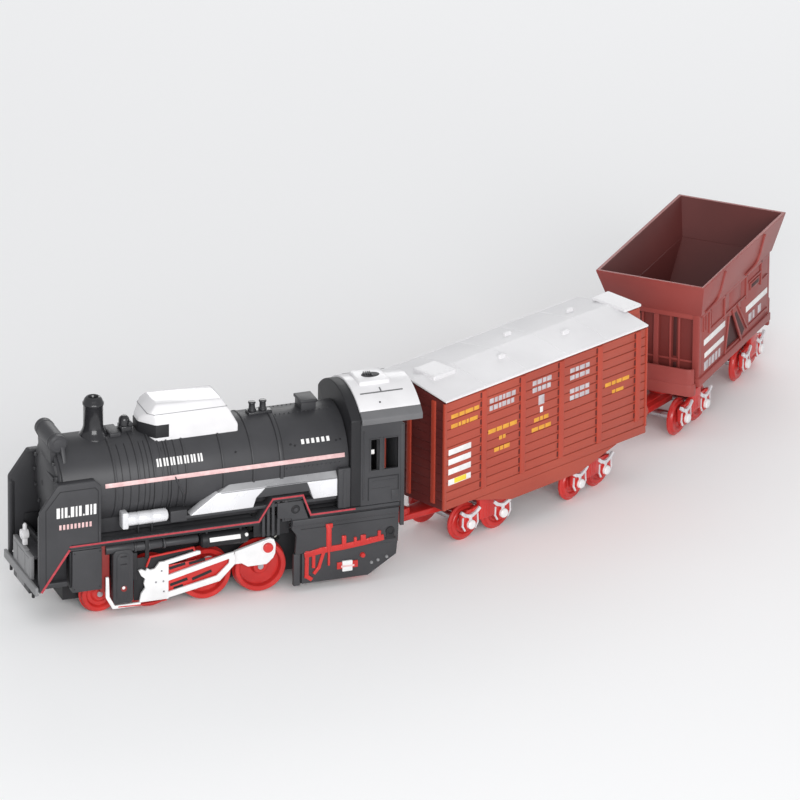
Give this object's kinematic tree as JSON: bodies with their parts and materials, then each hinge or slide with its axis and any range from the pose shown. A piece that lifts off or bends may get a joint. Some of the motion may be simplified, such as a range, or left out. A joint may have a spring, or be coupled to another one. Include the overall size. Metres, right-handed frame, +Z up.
{
  "type": "model train",
  "caption": "Toy steam train set: battery locomotive with coupling rods, covered boxcar and open hopper wagon, joined by swivelling couplings.",
  "frame": {"origin": "middle of the train's footprint at rest, on the surface it stands on", "axes": "+X runs along the locomotive from front to rear, +Y to its right side, +Z up"},
  "size_m": [0.4136, 0.2136, 0.0954],
  "materials": {
    "black_plastic": "satin charcoal injection moulding",
    "white_plastic": "glossy off-white moulding",
    "silver_trim": "silver-painted moulding",
    "red_plastic": "glossy red moulding",
    "orange_plastic": "satin orange-red moulding",
    "brown_plastic": "satin red-brown moulding",
    "steel": "plated",
    "brass": "plain"
  },
  "bodies": {
    "locomotive": {"boiler_shell": "black_plastic", "smokebox_door": "black_plastic", "feedwater_heater": "black_plastic", "chimney": "black_plastic", "bell": "black_plastic", "dome_cover": "silver_trim", "safety_valves": "black_plastic", "running_board": "black_plastic", "pilot_beam": "black_plastic", "headlamp": "silver_trim", "cab_shell": "black_plastic", "cab_roof": "white_plastic", "chassis_frame": "black_plastic", "motor": "steel", "battery": "steel", "battery_contact": "steel", "deflector_left": "black_plastic", "deflector_right": "black_plastic", "firebox_panel_left": "silver_trim", "firebox_panel_right": "silver_trim", "air_tank_left": "silver_trim", "air_tank_right": "silver_trim", "reservoir_left": "black_plastic", "reservoir_right": "black_plastic", "cylinder_left": "black_plastic", "cylinder_right": "black_plastic", "crosshead_guide_left": "white_plastic", "crosshead_guide_right": "white_plastic", "skirt_left": "black_plastic", "skirt_right": "black_plastic"},
    "drive_axle_1": {"drive_wheelset_1": "red_plastic"},
    "drive_axle_2": {"drive_wheelset_2": "red_plastic"},
    "drive_axle_3": {"drive_wheelset_3": "red_plastic", "axle_gear": "white_plastic"},
    "idler": {"idler_gear": "white_plastic"},
    "motor_rotor": {"motor_pinion": "brass"},
    "coupling_rod_left": {"coupling_rod_left": "white_plastic"},
    "coupling_rod_right": {"coupling_rod_right": "white_plastic"},
    "pilot_axle": {"pilot_wheelset": "red_plastic"},
    "trailing_axle": {"trailing_wheelset": "red_plastic"},
    "switch": {"power_switch": "black_plastic"},
    "drawbar": {"rear_drawbar": "red_plastic"},
    "boxcar_bogie_front": {"boxcar_bogie_front": "red_plastic"},
    "boxcar": {"boxcar_body": "orange_plastic", "boxcar_roof": "white_plastic", "boxcar_underframe": "red_plastic"},
    "boxcar_bogie_rear": {"boxcar_bogie_rear": "red_plastic"},
    "hopper_bogie_front": {"hopper_bogie_front": "red_plastic"},
    "hopper": {"hopper_tub": "brown_plastic", "hopper_underframe": "brown_plastic"},
    "hopper_bogie_rear": {"hopper_bogie_rear": "red_plastic"},
    "boxcar_axle_1": {"boxcar_wheelset_1": "red_plastic"},
    "boxcar_axle_2": {"boxcar_wheelset_2": "red_plastic"},
    "boxcar_axle_3": {"boxcar_wheelset_3": "red_plastic"},
    "boxcar_axle_4": {"boxcar_wheelset_4": "red_plastic"},
    "hopper_axle_1": {"hopper_wheelset_1": "red_plastic"},
    "hopper_axle_2": {"hopper_wheelset_2": "red_plastic"},
    "hopper_axle_3": {"hopper_wheelset_3": "red_plastic"},
    "hopper_axle_4": {"hopper_wheelset_4": "red_plastic"}
  },
  "joints": [
    {"name": "drive_roll", "type": "hinge", "parent": "locomotive", "child": "drive_axle_3", "pos_m": [-0.10235, -0.08393, 0.0122], "axis": [0, 1, 0], "continuous": true},
    {"name": "drive_roll_1", "type": "hinge", "parent": "locomotive", "child": "drive_axle_1", "pos_m": [-0.15275, -0.08393, 0.0122], "axis": [0, 1, 0], "continuous": true},
    {"name": "drive_roll_2", "type": "hinge", "parent": "locomotive", "child": "drive_axle_2", "pos_m": [-0.12755, -0.08393, 0.0122], "axis": [0, 1, 0], "continuous": true},
    {"name": "idler_spin", "type": "hinge", "parent": "locomotive", "child": "idler", "pos_m": [-0.09281, -0.07963, 0.02175], "axis": [0, 1, 0], "continuous": true},
    {"name": "motor_spin", "type": "hinge", "parent": "locomotive", "child": "motor_rotor", "pos_m": [-0.09075, -0.07963, 0.03342], "axis": [0, 1, 0], "continuous": true},
    {"name": "rod_pivot_left", "type": "hinge", "parent": "drive_axle_2", "child": "coupling_rod_left", "pos_m": [-0.12679, -0.10193, 0.01765], "axis": [0, 1, 0], "continuous": true},
    {"name": "rod_pivot_right", "type": "hinge", "parent": "drive_axle_2", "child": "coupling_rod_right", "pos_m": [-0.133, -0.06593, 0.01297], "axis": [0, 1, 0], "continuous": true},
    {"name": "pilot_roll", "type": "hinge", "parent": "locomotive", "child": "pilot_axle", "pos_m": [-0.17515, -0.08393, 0.009], "axis": [0, 1, 0], "continuous": true},
    {"name": "trailing_roll", "type": "hinge", "parent": "locomotive", "child": "trailing_axle", "pos_m": [-0.05885, -0.08393, 0.009], "axis": [0, 1, 0], "continuous": true},
    {"name": "power_switch_slide", "type": "slide", "parent": "locomotive", "child": "switch", "axis": [1, 0, 0], "range_m": [0, 0.003]},
    {"name": "drawbar_swing", "type": "hinge", "parent": "locomotive", "child": "drawbar", "pos_m": [-0.05535, -0.08393, 0.0203], "axis": [0, 0, 1], "range_deg": [-47.5, 0.3]},
    {"name": "front_coupling", "type": "hinge", "parent": "drawbar", "child": "boxcar_bogie_front", "pos_m": [-0.03571, -0.07519, 0.017], "axis": [0, 0, 1], "range_deg": [-2.5, 3.4]},
    {"name": "boxcar_front_swivel", "type": "hinge", "parent": "boxcar_bogie_front", "child": "boxcar", "pos_m": [0.00407, -0.05887, 0.018], "axis": [0, 0, 1], "range_deg": [-5.4, 1]},
    {"name": "boxcar_rear_swivel", "type": "hinge", "parent": "boxcar", "child": "boxcar_bogie_rear", "pos_m": [0.06117, -0.03225, 0.018], "axis": [0, 0, 1], "range_deg": [-17.5, 0.5]},
    {"name": "rear_coupling", "type": "hinge", "parent": "boxcar_bogie_rear", "child": "hopper_bogie_front", "pos_m": [0.09703, -0.00851, 0.015], "axis": [0, 0, 1], "range_deg": [-28.8, 11.2]},
    {"name": "hopper_front_swivel", "type": "hinge", "parent": "hopper_bogie_front", "child": "hopper", "pos_m": [0.12883, 0.02043, 0.018], "axis": [0, 0, 1], "range_deg": [-13.7, 4.3]},
    {"name": "hopper_rear_swivel", "type": "hinge", "parent": "hopper", "child": "hopper_bogie_rear", "pos_m": [0.17453, 0.06943, 0.018], "axis": [0, 0, 1], "range_deg": [-12, 6]},
    {"name": "boxcar_roll_1", "type": "hinge", "parent": "boxcar_bogie_front", "child": "boxcar_axle_1", "pos_m": [-0.00481, -0.06251, 0.0087], "axis": [-0.3795, 0.9252, 0], "continuous": true},
    {"name": "boxcar_roll_2", "type": "hinge", "parent": "boxcar_bogie_front", "child": "boxcar_axle_2", "pos_m": [0.01295, -0.05523, 0.0087], "axis": [-0.3795, 0.9252, 0], "continuous": true},
    {"name": "boxcar_roll_3", "type": "hinge", "parent": "boxcar_bogie_rear", "child": "boxcar_axle_3", "pos_m": [0.05316, -0.03754, 0.0087], "axis": [-0.5519, 0.8339, 0], "continuous": true},
    {"name": "boxcar_roll_4", "type": "hinge", "parent": "boxcar_bogie_rear", "child": "boxcar_axle_4", "pos_m": [0.06918, -0.02695, 0.0087], "axis": [-0.5519, 0.8339, 0], "continuous": true},
    {"name": "hopper_roll_1", "type": "hinge", "parent": "hopper_bogie_front", "child": "hopper_axle_1", "pos_m": [0.12173, 0.01397, 0.0087], "axis": [-0.673, 0.7396, 0], "continuous": true},
    {"name": "hopper_roll_2", "type": "hinge", "parent": "hopper_bogie_front", "child": "hopper_axle_2", "pos_m": [0.13593, 0.02689, 0.0087], "axis": [-0.673, 0.7396, 0], "continuous": true},
    {"name": "hopper_roll_3", "type": "hinge", "parent": "hopper_bogie_rear", "child": "hopper_axle_3", "pos_m": [0.16835, 0.06207, 0.0087], "axis": [-0.766, 0.6428, 0], "continuous": true},
    {"name": "hopper_roll_4", "type": "hinge", "parent": "hopper_bogie_rear", "child": "hopper_axle_4", "pos_m": [0.18069, 0.07678, 0.0087], "axis": [-0.766, 0.6428, 0], "continuous": true}
  ],
  "couplings": [
    {"joint": "drive_roll_1", "follows": "drive_roll", "ratio": 1},
    {"joint": "drive_roll_2", "follows": "drive_roll", "ratio": 1},
    {"joint": "rod_pivot_left", "follows": "drive_roll", "ratio": -1},
    {"joint": "rod_pivot_right", "follows": "drive_roll", "ratio": -1},
    {"joint": "idler_spin", "follows": "drive_roll", "ratio": -0.71429},
    {"joint": "motor_spin", "follows": "drive_roll", "ratio": 1.4286}
  ]
}
